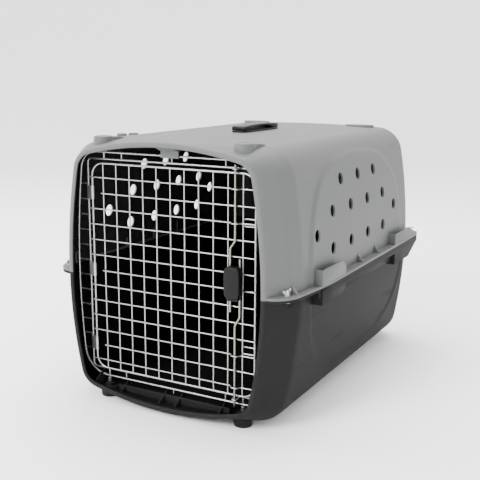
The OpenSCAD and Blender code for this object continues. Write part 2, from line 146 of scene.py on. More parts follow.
# Moulded plastic: fine pebble grain, cloudy tone, a few pale scuffs
def mouldedPlastic(name, look):
    maker = MaterialMaker(name)
    colour = look["colour"]
    grain = maker.noise(look["grainScale"], 3.0)
    cloud = maker.noise(7.0, 3.0)
    scuffs = maker.ramp(maker.noise(34.0, 6.0, (1.0, 0.25, 2.4)), 0.60, 0.74)
    tone = maker.mix(cloud, tint(colour, 1 - look["cloud"]), tint(colour, 1 + look["cloud"]))
    tone = maker.mix(grain * look["speckle"], tone, tint(colour, 1.6))
    tone = maker.mix(scuffs * look["scuff"], tone, tint(colour, 1.9))
    bump = maker.node("ShaderNodeBump", {}, {"Strength": look["bump"], "Distance": 0.0004,
                                             "Height": grain + 0.6 * cloud})
    rough = look["rough"] + 0.10 * cloud + 0.06 * grain + 0.10 * scuffs
    return maker.finish(Base_Color=tone, Roughness=rough - 0.08, Normal=bump, IOR=1.48,
                        Specular_IOR_Level=look["specular"])


# Drawn wire and sheet: bright plating with faint draw lines and dull spots
def platedMetal(name, look):
    maker = MaterialMaker(name)
    colour = look["colour"]
    lines = maker.noise(520.0, 2.0, look["stretch"])
    dull = maker.noise(60.0, 4.0)
    tone = maker.mix(dull, tint(colour, 0.86), tint(colour, 1.06))
    tone = maker.mix(lines * 0.25, tone, tint(colour, 0.6))
    bump = maker.node("ShaderNodeBump", {}, {"Strength": 0.12, "Distance": 0.0002, "Height": lines})
    return maker.finish(Base_Color=tone, Roughness=look["rough"] + 0.16 * dull, Normal=bump,
                        Metallic=look["metal"])


plasticLooks = {
    "upper": {"colour": (0.087, 0.0895, 0.0885), "specular": 0.22, "grainScale": 1150.0,
              "cloud": 0.035, "speckle": 0.05, "scuff": 0.05, "bump": 0.32, "rough": 0.52},
    "lower": {"colour": (0.0122, 0.0122, 0.0126), "specular": 0.05, "grainScale": 1050.0,
              "cloud": 0.06, "speckle": 0.10, "scuff": 0.08, "bump": 0.36, "rough": 0.60},
    "black": {"colour": (0.005, 0.005, 0.0055), "specular": 0.12, "grainScale": 1600.0,
              "cloud": 0.10, "speckle": 0.12, "scuff": 0.10, "bump": 0.25, "rough": 0.36},
}
# How much darker the inside of each tub is: painted shade for the shadow inside the tubs
insidePaintedShade = {"upper": 0.16, "lower": 0.4}
metalLooks = {
    "wire": {"colour": (0.39, 0.395, 0.40), "stretch": (1, 1, 1), "rough": 0.20, "metal": 0.85},
    "rod": {"colour": (0.25, 0.235, 0.185), "stretch": (1, 1, 0.08), "rough": 0.18, "metal": 0.95},
    "strap": {"colour": (0.46, 0.465, 0.47), "stretch": (1, 1, 0.15), "rough": 0.26, "metal": 0.9},
    "zinc": {"colour": (0.50, 0.505, 0.52), "stretch": (1, 1, 1), "rough": 0.24, "metal": 0.95},
    "spring": {"colour": (0.46, 0.46, 0.48), "stretch": (1, 1, 1), "rough": 0.30, "metal": 1.0},
    "screw": {"colour": (0.05, 0.05, 0.055), "stretch": (1, 1, 1), "rough": 0.35, "metal": 0.6},
}
upperPlastic = mouldedPlastic("upperTubPlastic", plasticLooks["upper"])
lowerPlastic = mouldedPlastic("lowerTubPlastic", plasticLooks["lower"])
# Darker copies of each tub's plastic for its inner faces: painted shade, not a different plastic
paintedShadeInsides = {key: mouldedPlastic(key + "TubInsidePaintedShade",
                               {**plasticLooks[key],
                                "colour": [shade * factor for shade in plasticLooks[key]["colour"]]})
           for key, factor in insidePaintedShade.items()}
blackPlastic = mouldedPlastic("blackFittingPlastic", plasticLooks["black"])
brightWire = platedMetal("brightMeshWire", metalLooks["wire"])
nickelRod = platedMetal("nickelLatchRod", metalLooks["rod"])
strapMetal = platedMetal("strapSheet", metalLooks["strap"])
zincMetal = platedMetal("zincHardware", metalLooks["zinc"])
springSteel = platedMetal("springSteel", metalLooks["spring"])
blackScrew = platedMetal("blackScrewSteel", metalLooks["screw"])
print("stage: materials made")


# Node trees that grow repeated or swept shapes
class ShapeTree:
    def __init__(self, name, inputs):
        self.group = bpy.data.node_groups.new(name, "GeometryNodeTree")
        face = self.group.interface
        face.new_socket("Geometry", in_out="INPUT", socket_type="NodeSocketGeometry")
        self.identifiers = {}
        for label, kind in inputs.items():
            socket = face.new_socket(label, in_out="INPUT", socket_type="NodeSocket" + kind)
            self.identifiers[label] = socket.identifier
        face.new_socket("Geometry", in_out="OUTPUT", socket_type="NodeSocketGeometry")
        self.start = self.group.nodes.new("NodeGroupInput")
        self.end = self.group.nodes.new("NodeGroupOutput")

    def given(self, label):
        return self.start.outputs[label]

    def node(self, kind, settings, inputs, output=0):
        node = self.group.nodes.new(kind)
        for key, value in settings.items():
            setattr(node, key, value)
        for key, value in inputs.items():
            if isinstance(value, bpy.types.NodeSocket):
                self.group.links.new(value, node.inputs[key])
            else:
                node.inputs[key].default_value = value
        return node.outputs[output]

    def close(self, shape):
        real = self.node("GeometryNodeRealizeInstances", {}, {"Geometry": shape})
        coated = self.node("GeometryNodeSetMaterial", {}, {"Geometry": real,
                                                           "Material": self.given("Material")})
        self.group.links.new(coated, self.end.inputs[0])
        return self


def wireSkin(tree, curve):
    ring = tree.node("GeometryNodeCurvePrimitiveCircle", {}, {"Resolution": tree.given("Sides"),
                                                              "Radius": tree.given("Radius")})
    return tree.node("GeometryNodeCurveToMesh", {}, {"Curve": curve, "Profile Curve": ring,
                                                     "Fill Caps": True})


def buildBentTree():
    tree = ShapeTree("bent wire", {"Radius": "Float", "Bend": "Float", "Steps": "Int", "Sides": "Int",
                                   "Material": "Material"})
    curve = tree.node("GeometryNodeMeshToCurve", {}, {"Mesh": tree.given("Geometry")})
    curve = tree.node("GeometryNodeFilletCurve", {"mode": "POLY"},
                      {"Curve": curve, "Count": tree.given("Steps"), "Radius": tree.given("Bend"),
                       "Limit Radius": True})
    return tree.close(wireSkin(tree, curve))


def buildRowTree():
    tree = ShapeTree("row of wires", {"Count": "Int", "Start": "Vector", "Step": "Vector", "Run": "Vector",
                                      "Radius": "Float", "Sides": "Int", "Material": "Material"})
    points = tree.node("GeometryNodeMeshLine", {"mode": "OFFSET"},
                       {"Count": tree.given("Count"), "Start Location": tree.given("Start"),
                        "Offset": tree.given("Step")})
    run = tree.node("GeometryNodeCurvePrimitiveLine", {"mode": "POINTS"}, {"End": tree.given("Run")})
    rows = tree.node("GeometryNodeInstanceOnPoints", {}, {"Points": points, "Instance": run})
    rows = tree.node("GeometryNodeRealizeInstances", {}, {"Geometry": rows})
    return tree.close(wireSkin(tree, rows))


def buildPegTree():
    tree = ShapeTree("row of pegs", {"Count": "Int", "Start": "Vector", "Step": "Vector",
                                     "Turn": "Vector", "Radius": "Float", "Depth": "Float",
                                     "Material": "Material"})
    points = tree.node("GeometryNodeMeshLine", {"mode": "OFFSET"},
                       {"Count": tree.given("Count"), "Start Location": tree.given("Start"),
                        "Offset": tree.given("Step")})
    peg = tree.node("GeometryNodeMeshCylinder", {}, {"Vertices": 40, "Radius": tree.given("Radius"),
                                                     "Depth": tree.given("Depth")})
    pegs = tree.node("GeometryNodeInstanceOnPoints", {}, {"Points": points, "Instance": peg,
                                                          "Rotation": tree.given("Turn")})
    return tree.close(pegs)


def buildCoilTree():
    tree = ShapeTree("coil", {"Turns": "Float", "Coil Radius": "Float", "Height": "Float",
                              "Foot": "Vector", "Radius": "Float", "Sides": "Int",
                              "Material": "Material"})
    coil = tree.node("GeometryNodeCurveSpiral", {}, {"Resolution": 28, "Rotations": tree.given("Turns"),
                                                     "Start Radius": tree.given("Coil Radius"),
                                                     "End Radius": tree.given("Coil Radius"),
                                                     "Height": tree.given("Height")})
    skin = wireSkin(tree, coil)
    return tree.close(tree.node("GeometryNodeTransform", {}, {"Geometry": skin,
                                                              "Translation": tree.given("Foot")}))


bentTree = buildBentTree()
rowTree = buildRowTree()
pegTree = buildPegTree()
coilTree = buildCoilTree()


def addObject(name, mesh):
    thing = bpy.data.objects.new(name, mesh)
    bpy.context.collection.objects.link(thing)
    return thing


def bake(thing):
    graph = bpy.context.evaluated_depsgraph_get()
    mesh = bpy.data.meshes.new_from_object(thing.evaluated_get(graph))
    thing.modifiers.clear()
    thing.data = mesh
    return thing


def grow(name, tree, values, mesh=None):
    thing = addObject(name, mesh or bpy.data.meshes.new(name))
    modifier = thing.modifiers.new("grow", "NODES")
    modifier.node_group = tree.group
    for label, value in values.items():
        modifier[tree.identifiers[label]] = value
    return bake(thing)


def pathMesh(name, paths, closed=False):
    points, edges = [], []
    for path in paths:
        first = len(points)
        points += [put(*point) for point in path]
        edges += [(first + i, first + i + 1) for i in range(len(path) - 1)]
        if closed:
            edges.append((len(points) - 1, first))
    mesh = bpy.data.meshes.new(name)
    mesh.from_pydata(points, edges, [])
    return mesh


def bentWires(name, paths, radius, bend, material, closed=False, sides=14):
    return grow(name, bentTree, {"Radius": radius * mm, "Bend": bend * mm, "Steps": 7, "Sides": sides,
                                 "Material": material}, pathMesh(name, paths, closed))


def wireRow(name, count, start, step, run, radius, material):
    return grow(name, rowTree, {"Count": count, "Start": put(*start), "Step": Vector(step) * mm,
                                "Run": Vector(run) * mm, "Radius": radius * mm, "Sides": 12,
                                "Material": material})


def pegRow(count, start, step, turn, radius, depth):
    return grow("peg", pegTree, {"Count": count, "Start": put(*start), "Step": Vector(step) * mm,
                                 "Turn": turn, "Radius": radius * mm, "Depth": depth * mm,
                                 "Material": None})


def joined(name, things):
    body = bmesh.new()
    for thing in things:
        body.from_mesh(thing.data)
    materials = list(things[0].data.materials)
    mesh = bpy.data.meshes.new(name)
    body.to_mesh(mesh)
    body.free()
    for material in materials:
        mesh.materials.append(material)
    for thing in things:
        bpy.data.objects.remove(thing)
    return addObject(name, mesh)


def deliver(thing, body, replaced, material=None, corner=32):
    mesh = thing.data
    if material:
        mesh.materials.clear()
        mesh.materials.append(material)
        for face in mesh.polygons:
            face.material_index = 0
    for face in mesh.polygons:
        face.use_smooth = True
    mesh.set_sharp_from_angle(angle=math.radians(corner))
    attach(thing, body)
    if replaced:
        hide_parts(*replaced)
    return thing


# Prism on an outline: plane "xy" rises in z, "yz" runs in x, "xz" runs in y
def prism(outline, plane, low, high, bevel=0.0, segments=2):
    def point(a, b, c):
        return {"xy": put(a, b, c), "yz": put(c, a, b), "xz": put(a, c, b)}[plane]
    body = bmesh.new()
    lower = [body.verts.new(point(a, b, low)) for a, b in outline]
    upper = [body.verts.new(point(a, b, high)) for a, b in outline]
    count = len(outline)
    body.faces.new(lower)
    body.faces.new(list(reversed(upper)))
    for i in range(count):
        j = (i + 1) % count
        body.faces.new((lower[j], lower[i], upper[i], upper[j]))
    bmesh.ops.recalc_face_normals(body, faces=body.faces)
    if bevel:
        edges = [edge for edge in body.edges if edge.calc_face_angle(0) > math.radians(35)]
        bmesh.ops.bevel(body, geom=edges, offset=bevel * mm, segments=segments, profile=0.5,
                        affect="EDGES", clamp_overlap=True)
        bmesh.ops.recalc_face_normals(body, faces=body.faces)
    mesh = bpy.data.meshes.new("prism")
    body.to_mesh(mesh)
    body.free()
    return addObject("prism", mesh)


def slab(x, y, z, bevel=0.0):
    return prism([(x[0], y[0]), (x[1], y[0]), (x[1], y[1]), (x[0], y[1])], "xy", z[0], z[1], bevel)


# Solid of revolution about an upright axis; the profile runs from the top pole to the bottom pole
def turned(profile, x, y, segments=48):
    body = bmesh.new()
    rings = []
    for radius, z in profile:
        if radius == 0:
            rings.append([body.verts.new(put(x, y, z))])
        else:
            rings.append([body.verts.new(put(x + radius * math.cos(a), y + radius * math.sin(a), z))
                          for a in (2 * math.pi * k / segments for k in range(segments))])
    for above, below in zip(rings, rings[1:]):
        for k in range(segments):
            m = (k + 1) % segments
            if len(above) == 1:
                body.faces.new((above[0], below[k], below[m]))
            elif len(below) == 1:
                body.faces.new((above[m], above[k], below[0]))
            else:
                body.faces.new((above[k], below[k], below[m], above[m]))
    bmesh.ops.recalc_face_normals(body, faces=body.faces)
    mesh = bpy.data.meshes.new("turned")
    body.to_mesh(mesh)
    body.free()
    return addObject("turned", mesh)


def mirrored(thing):
    mesh = thing.data.copy()
    mesh.transform(Matrix.Scale(-1, 4, (1, 0, 0)))
    mesh.flip_normals()
    return addObject("mirrored", mesh)


def withMirror(things):
    return things + [mirrored(thing) for thing in things]


def carve(thing, tools, operation):
    shelf = bpy.data.collections.new("tools")
    bpy.context.scene.collection.children.link(shelf)
    for tool in tools:
        for owner in list(tool.users_collection):
            owner.objects.unlink(tool)
        shelf.objects.link(tool)
    modifier = thing.modifiers.new("carve", "BOOLEAN")
    modifier.operation = operation
    modifier.operand_type = "COLLECTION"
    modifier.collection = shelf
    modifier.solver = "EXACT"
    bake(thing)
    for tool in tools:
        bpy.data.objects.remove(tool)
    bpy.data.collections.remove(shelf)


# The two tubs: one rule for the cross-section, blended from the body to the front rim
tubs = {
    "upper": {"side": 1,
              "body": {"half": 205, "rise": 161, "corner": 50, "crown": 3, "bulge": 900},
              "rim": {"half": 175.5, "rise": 162, "corner": 36, "crown": 16.5, "bulge": 900}},
    "lower": {"side": -1,
              "body": {"half": 205, "rise": 155.5, "corner": 45, "crown": 0, "bulge": 900},
              "rim": {"half": 175.5, "rise": 152, "corner": 34, "crown": 18.5, "bulge": 680}},
}
tubGrid = {"sideCount": 36, "cornerCount": 16, "roofCount": 28, "wall": 3.0, "bead": 8.2,
           "beadRound": 3.3, "backRound": 44.0, "backSteps": 11, "bodyStep": 4.0, "collarStep": 2.5,
           "innerStep": 14.0, "backRecess": 1.3, "collarEnd": 60}


# Half an outline with its outward normals: up the side, round the corner, along to the middle
def halfOutline(section):
    half, crown, bulge, corner = (section[key] for key in ("half", "crown", "bulge", "corner"))
    topHeight = section["rise"] + corner + crown
    rise, roofEdge = section["rise"], half - corner
    for _ in range(12):
        lean = math.atan(rise / bulge)
        tip = math.atan(2 * crown / roofEdge)
        centreX = half - rise * rise / (2 * bulge) - corner * math.cos(lean)
        roofEdge = centreX + corner * math.sin(tip)
        rise = topHeight - crown - corner * (math.cos(tip) - math.sin(lean))
    centreH = rise - corner * math.sin(lean)
    points, normals = [], []
    for k in range(tubGrid["sideCount"]):
        h = rise * k / tubGrid["sideCount"]
        a = math.atan(h / bulge)
        points.append((half - h * h / (2 * bulge), h))
        normals.append((math.cos(a), math.sin(a)))
    for k in range(tubGrid["cornerCount"] + 1):
        a = lean + (math.pi / 2 - tip - lean) * k / tubGrid["cornerCount"]
        points.append((centreX + corner * math.cos(a), centreH + corner * math.sin(a)))
        normals.append((math.cos(a), math.sin(a)))
    for k in range(1, tubGrid["roofCount"] + 1):
        x = roofEdge * (1 - k / tubGrid["roofCount"])
        a = math.atan(2 * crown * x / roofEdge ** 2)
        points.append((x, topHeight - crown * (x / roofEdge) ** 2))
        normals.append((math.sin(a), math.cos(a)))
    return np.array(points), np.array(normals)


def fullOutline(section):
    points, normals = halfOutline(section)
    flip = np.array([-1, 1])
    return (np.vstack([points, (points * flip)[-2::-1]]), np.vstack([normals, (normals * flip)[-2::-1]]))


def softRamp(u, width):
    return width * np.logaddexp(0, u / width)


# Each soft bend of the upper collar: slope, depth, softness
upperBends = [(0.37, 5, 1.6), (0.25, 36, 1.0)]
lowerBend = {"depth": 34, "lean": 21, "height": 170, "most": 1.1, "soft": 3.0}


# Share of the rim's outline at depth y; the upper collar has two soft bends, the lower one slanting bend
def upperShare(y, heights):
    bends, whole = (sum(slope * softRamp(depth - place, soft) for slope, depth, soft in upperBends)
                    for place in (y, rimY))
    return np.full_like(heights, bends / whole)


def lowerShare(y, heights):
    rise = np.clip(heights / lowerBend["height"], 0, lowerBend["most"])
    bend = lowerBend["depth"] - lowerBend["lean"] * rise
    return softRamp(bend - y, lowerBend["soft"]) / softRamp(bend - rimY, lowerBend["soft"])


def smoothStep(value, low, high):
    t = np.clip((value - low) / (high - low), 0, 1)
    return t * t * (3 - 2 * t)


# Distance, roughly in mm, inside a rounded panel drawn on the side wall
def panelDepth(y, z, panel):
    power = panel["power"]
    along = np.abs((y - panel["middle"]) / panel["halfLength"]) ** power
    upward = np.abs((z - panel["foot"]) / panel["height"]) ** power
    return (1 - (along + upward) ** (1 / power)) * min(panel["halfLength"], panel["height"])


# The upper tub's raised arch and the lower tub's sunk panel; side is where the roof or floor gives way to it
panels = {
    "upper": {"middle": 275, "foot": 214, "halfLength": 213, "height": 183, "power": 2.75,
              "edge": (-2.6, 2.6), "side": (150, 175), "lift": 3.0},
    "lower": {"middle": 290, "foot": 206, "halfLength": 220, "height": 155, "power": 2.8,
              "edge": (-2.0, 2.5), "side": (150, 172), "lift": -1.6},
}


def panelLift(panel, y, z, x):
    onSide = smoothStep(np.abs(x), *panel["side"])
    return panel["lift"] * smoothStep(panelDepth(y, z, panel), *panel["edge"]) * onSide


def tubMesh(name, tub, share, panel, skins):
    wall, bead, beadRound = tubGrid["wall"], tubGrid["bead"], tubGrid["beadRound"]
    backRound, collarEnd = tubGrid["backRound"], tubGrid["collarEnd"]
    bodyPoints, bodyNormals = fullOutline(tub["body"])
    rimPoints, rimNormals = fullOutline(tub["rim"])
    heights = bodyPoints[:, 1]

    def row(y, inset, scale=1.0):
        blend = share(y, heights)[:, None]
        points = (bodyPoints - inset * bodyNormals) * (1 - blend) + (rimPoints - inset * rimNormals) * blend
        points = points * scale
        return np.column_stack([points[:, 0], np.full(len(points), y),
                                partingZ + tub["side"] * points[:, 1]])

    recess = tubGrid["backRecess"]
    rows = [row(backY - recess, backRound, 0.74), row(backY - recess, backRound, 0.76),
            row(backY - recess / 2, backRound, 0.77), row(backY, backRound, 0.785),
            row(backY, backRound, 0.97)]
    angles = [math.pi / 2 * (1 - k / tubGrid["backSteps"]) for k in range(tubGrid["backSteps"] + 1)]
    rows += [row(backY - backRound + backRound * math.sin(a), backRound * (1 - math.cos(a))) for a in angles]
    rows += [row(y, 0) for y in np.arange(backY - backRound - tubGrid["bodyStep"], collarEnd + 2,
                                          -tubGrid["bodyStep"])]
    rows += [row(y, 0) for y in np.arange(collarEnd, rimY + beadRound + 1, -tubGrid["collarStep"])]
    outerCount = len(rows)
    quarter = [math.pi / 2 * k / 6 for k in range(7)]
    rows += [row(rimY + beadRound * (1 - math.sin(a)), beadRound * (1 - math.cos(a))) for a in quarter]
    rows += [row(rimY + beadRound * (1 - math.cos(a)), bead - beadRound * (1 - math.sin(a)))
             for a in quarter]
    innerFirst = len(rows)
    rows += [row(rimY + 8, bead), row(rimY + 9.6, bead - 1.2), row(rimY + 10.4, wall)]
    rows += [row(y, wall) for y in np.arange(rimY + 14, collarEnd, tubGrid["innerStep"] / 2)]
    rows += [row(y, wall) for y in np.arange(collarEnd + 6, backY - backRound - 4, tubGrid["innerStep"])]
    inner = backRound - wall
    rows += [row(backY - backRound + inner * math.sin(a), wall + inner * (1 - math.cos(a)))
             for a in reversed(angles)]

    body = bmesh.new()
    grid = [[body.verts.new(put(*point)) for point in line] for line in rows]
    across = len(grid[0])
    for back, front in zip(grid, grid[1:]):
        for j in range(across - 1):
            body.faces.new((back[j], back[j + 1], front[j + 1], front[j]))
    body.faces.new(grid[0])
    body.faces.new(grid[-1])
    body.faces.new([line[0] for line in grid])
    body.faces.new([line[-1] for line in grid])
    body.faces.new((grid[0][0], grid[0][-1], grid[-1][-1], grid[-1][0]))
    bmesh.ops.recalc_face_normals(body, faces=body.faces)
    body.normal_update()
    table = np.array([[list(vert.co) for vert in line] for line in grid]) / mm
    lift = panelLift(panel, table[:, :, 1] - doorY / mm, table[:, :, 2], table[:, :, 0]) * mm
    for i in range(len(grid)):
        for j in range(across):
            vert = grid[i][j]
            outward = vert.normal if i < outerCount else -vert.normal
            if j in (0, across - 1):
                outward = Vector((math.copysign(1, vert.co.x), 0, 0))
            vert.co += outward * float(lift[i, j])
    # Inner faces get the second material, the darker painted-shade copy of the plastic
    for line in grid[innerFirst:]:
        for vert in line:
            for face in vert.link_faces:
                face.material_index = 1
    mesh = bpy.data.meshes.new(name)
    body.to_mesh(mesh)
    body.free()
    for material in skins:
        mesh.materials.append(material)
    return addObject(name, mesh)


# The flange's plan, shared by both tubs
flange = {"thick": 4.0, "noseX": 176, "noseY": 21, "noseLong": 48, "noseWide": 37, "backCut": 26,
          "upperSeat": 213.5, "lowerSeat": 206.5, "rimInset": 29, "sink": 1.5, "lipFrom": 60}
bodyHalf = tubs["upper"]["body"]["half"]


def wallX(y):
    return bodyHalf - flange["rimInset"] * float(upperShare(np.array(y, float), np.array(0.0)))


def flangePlan(inset=0.0):
    path = []
    for k in range(11):
        a = math.pi / 2 * (1 - k / 10)
        path.append((flange["noseX"] + (flange["noseWide"] - inset) * math.cos(a),
                     flange["noseY"] - (flange["noseLong"] - inset) * math.sin(a)))
    path += [(flangeHalf - 3.5 - inset, 66), (flangeHalf - inset, 110)]
    for k in range(9):
        a = math.pi / 2 * k / 8
        path.append((flangeHalf - flange["backCut"] + (flange["backCut"] - inset) * math.cos(a),
                     flangeBack - flange["backCut"] + (flange["backCut"] - inset) * math.sin(a)))
    return path


def wallPlan():
    sink, backRound = flange["sink"], tubGrid["backRound"]
    path = [(wallX(y) - sink, y) for y in np.arange(rimY + 4, tubGrid["collarEnd"], 5)]
    path += [(bodyHalf - sink, y) for y in (100, 300, backY - backRound)]
    for k in range(1, 9):
        a = math.pi / 2 * k / 8
        path.append((bodyHalf - backRound + (backRound - sink) * math.cos(a),
                     backY - backRound + (backRound - sink) * math.sin(a)))
    return path


def ringOutline(outer, inner):
    def flipX(path):
        return [(-x, y) for x, y in reversed(path)]
    return outer + flipX(outer) + [(-x, y) for x, y in inner] + list(reversed(inner))


# Outer plate and two end plates of a pocket that stands on the flange
def pocket(profile, x=(203.0, 221.4)):
    plate = 2.6
    y0, y1 = profile[0][0], profile[-1][0]
    ends = [profile[1][1], profile[-2][1]]
    base = profile[0][1]
    parts = [prism(profile, "yz", x[1] - plate, x[1], 0.5)]
    for y, z in ((y0, ends[0]), (y1 - plate, ends[1])):
        parts.append(slab((x[0], x[1] - 0.4), (y, y + plate), sorted((base, z)), 0.3))
    return parts


def gusset(y, xIn, xOut, zFlange, height):
    return prism([(xIn, zFlange), (xOut, zFlange), (xIn, zFlange + height)], "xz", y - 1.1, y + 1.1, 0.3)


def peg(place, radius, depth):
    return pegRow(1, place, (0, 0, 0), (0, 0, 0), radius, depth)


bosses = {"x": 125, "y": 4, "radius": 15, "top": 427, "rearX": 112, "rearY": 500}
handle = {"middle": 278, "half": 64, "baseHalf": 16, "legSpread": 52, "legW": 14, "legT": 6,
          "screwX": 11, "screwIn": 16}
# Each row of air holes: side, height, first one, spacing, count
vents = {"radius": 10, "depth": 60,
         "rows": [(1, 360, 197, 76, 3), (1, 315, 152, 78, 4), (1, 257, 148, 78, 4), (1, 286, 88, 357, 2),
                  (-1, 360, 209, 71, 3), (-1, 315, 182, 76, 4), (-1, 256, 179, 77, 4),
                  (-1, 287, 114, 345, 2)]}
bolts = {"spots": [(197, -1), (204, 557)], "radius": 2.8, "depth": 8}
slits = {"x": 214, "y": (198, 289, 373), "pitch": 8.5, "radius": 1.6, "depth": 5}


def boltCutters(z):
    return [peg((s * x, y, z), bolts["radius"], bolts["depth"]) for x, y in bolts["spots"] for s in (-1, 1)]


def ellipse(x, y, a, b, count=40):
    return [(x + a * math.cos(2 * math.pi * k / count), y + b * math.sin(2 * math.pi * k / count))
            for k in range(count)]


def buildUpperTub():
    tub = tubMesh("upperTub", tubs["upper"], upperShare, panels["upper"], (upperPlastic, paintedShadeInsides["upper"]))
    top, radius = bosses["top"], bosses["radius"]
    seat = flange["upperSeat"]
    pairs = [gusset(12.5, 193, 211, seat, 20), gusset(252, 203, 220, seat, 20),
             gusset(335, 203, 220, seat, 20)]
    pairs += pocket([(72, seat), (72, 238), (151, 238), (167, 229), (167, seat)])
    pairs += pocket([(414, seat), (414, 234), (492, 234), (546, 217), (552, seat)])
    pairs.append(turned([(0, top - 0.6), (radius - 3.4, top - 0.6), (radius - 2.8, top), (radius - 1.4, top),
                         (radius - 0.4, top - 0.4), (radius, top - 1.4), (radius + 0.9, 411), (0, 411)],
                        bosses["x"], bosses["y"]))
    pairs.append(turned([(0, 413), (5.5, 413), (5, 403.5), (0, 403.5)], bosses["x"], bosses["y"]))
    pairs.append(prism([(6, 412), (6, top - 0.8), (24, top - 1.4), (40, 423.4), (50, 418), (50, 412)], "yz",
                       bosses["x"] - radius + 1.5, bosses["x"] + radius - 1.5, 1.2))
    pairs.append(prism(ellipse(bosses["rearX"], bosses["rearY"], 29, 12), "xy", 416, 426, 1.8, 3))
    parts = withMirror(pairs)
    for x, y in ((-160, 99), (-150, 118)):
        parts.append(prism(ellipse(x, y, 8.5, 8.5), "xy", 408, 423.4, 1.6, 3))
    parts.append(prism(ringOutline(flangePlan(), wallPlan()), "xy", partingZ,
                       partingZ + flange["thick"], 0.6))
    tabY = bosses["y"] - heavyR - 0.4
    parts.append(prism([(tabY - 2.5, 399), (tabY, 399), (tabY, 408), (tabY + 8, 422), (tabY - 16, 421),
                        (tabY - 17, 415), (tabY - 2.5, 409)], "yz", -16, 16, 0.5))
    carve(tub, parts, "UNION")
    cutters = []
    for side, z, y, pitch, count in vents["rows"]:
        cutters.append(pegRow(count, (side * bodyHalf, y, z), (0, pitch, 0), (0, math.pi / 2, 0),
                              vents["radius"], vents["depth"]))
    cutters += [peg((x, bosses["y"], 405), heavyR + 0.5, 18) for x in (-bosses["x"], bosses["x"])]
    cutters += boltCutters(partingZ + 2)
    for y in slits["y"]:
        for s in (-1, 1):
            cutters.append(pegRow(2, (s * slits["x"], y, partingZ + 4), (0, slits["pitch"], 0), (0, 0, 0),
                                  slits["radius"], slits["depth"]))
    cutters += handleCutters(415, 440)
    carve(tub, cutters, "DIFFERENCE")
    return deliver(tub, "carrier", ["upper_shell"])


def handleCutters(low, high):
    cutters = []
    for s in (-1, 1):
        y = handle["middle"] + s * handle["legSpread"]
        cutters.append(slab((-handle["legW"] / 2 - 0.5, handle["legW"] / 2 + 0.5),
                            (y - handle["legT"] / 2 - 0.5, y + handle["legT"] / 2 + 0.5), (low, high)))
        for x in (-handle["screwX"], handle["screwX"]):
            cutters.append(peg((x, y - s * handle["screwIn"], (low + high) / 2), 2.0, high - low))
    return cutters


def buildLowerTub():
    tub = tubMesh("lowerTub", tubs["lower"], lowerShare, panels["lower"], (lowerPlastic, paintedShadeInsides["lower"]))
    base = flange["lowerSeat"]
    pairs = pocket([(73, base), (73, 184), (152, 184), (166, 190), (166, base)])
    pairs += pocket([(414, base), (414, 177), (498, 177), (546, 198), (552, base)])
    pairs.append(gusset(12.5, 193, 210, base, -17))
    pairs.append(prism([(168, base), (168, 186), (411, 184), (411, base)], "yz", 211, 213.4, 0.4))
    foot = [(0, 0.0), (12.2, 0.0), (13.6, 0.6), (14.3, 2.2), (14.6, 16), (7.5, 17), (7.0, 22), (0, 22)]
    pairs.append(turned(list(reversed(foot)), bosses["x"], bosses["y"]))
    pairs.append(turned([(0, 17), (15, 17), (14.4, 2.2), (13.6, 0.6), (12.2, 0), (0, 0)], 120, 500))
    pairs.append(prism([(-14, 14.2), (14, 12.2), (14, 28), (8, 28), (-12, 19)], "yz", 90, 92.4, 0.4))
    pairs.append(prism([(-16, 20.5), (10, 15.5), (10, 40), (4, 40), (-14, 30)], "yz", 138, 140.4, 0.4))
    parts = withMirror(pairs)
    parts += [prism([(-18, 6), (12, 6), (12, 27), (6, 27), (-17, 15)], "yz", x, x + 2.4, 0.4)
              for x in (-16, 13.6)]
    sill = [(x, 11 + 4.5 * (x / 104) ** 2) for x in range(-104, 105, 16)] + [(104, 24), (-104, 24)]
    parts.append(prism(sill, "xz", -1.5, 1.2, 0.4))
    parts.append(prism(ringOutline(flangePlan(0.3), wallPlan()), "xy", partingZ - flange["thick"],
                       partingZ - 0.1, 0.6))
    lip, inner = ([(x, y) for x, y in flangePlan(inset) if y > flange["lipFrom"]] for inset in (0.6, 3.0))
    for s in (1, -1):
        outline = [(s * x, y) for x, y in lip + list(reversed(inner))]
        parts.append(prism(outline, "xy", 197.5, base, 0.5))
    carve(tub, parts, "UNION")
    cutters = [peg((x, bosses["y"], 27), 3.5, 9) for x in (-bosses["x"], bosses["x"])]
    carve(tub, cutters + boltCutters(partingZ - 2), "DIFFERENCE")
    return deliver(tub, "carrier", ["lower_shell"])


upperTub = buildUpperTub()
print("stage: upper tub", len(upperTub.data.polygons))
lowerTub = buildLowerTub()
print("stage: lower tub", len(lowerTub.data.polygons))

# The door's grille of thin wires
grille = {"thinR": 1.1, "pitch": 25, "left": -124.3, "columns": 11, "top": 362,
          "guides": (0, 2, 10, 12), "short": (1, 6, 11), "full": ((3, 3), (7, 3)),
          "loopZ": (313, 120), "loopHalf": 5.5}
grille["rowY"] = -heavyR - grille["thinR"] + 0.3
grille["columnY"] = grille["rowY"] + 2 * grille["thinR"] - 0.3
rod = {"radius": 1.75, "x": 115.5, "offset": 8, "jogUp": (275, 286), "jogDown": (158, 172)}
rod["y"] = grille["rowY"] - grille["thinR"] - rod["radius"] - 0.8


def rowZ(i):
    return grille["top"] - i * grille["pitch"]


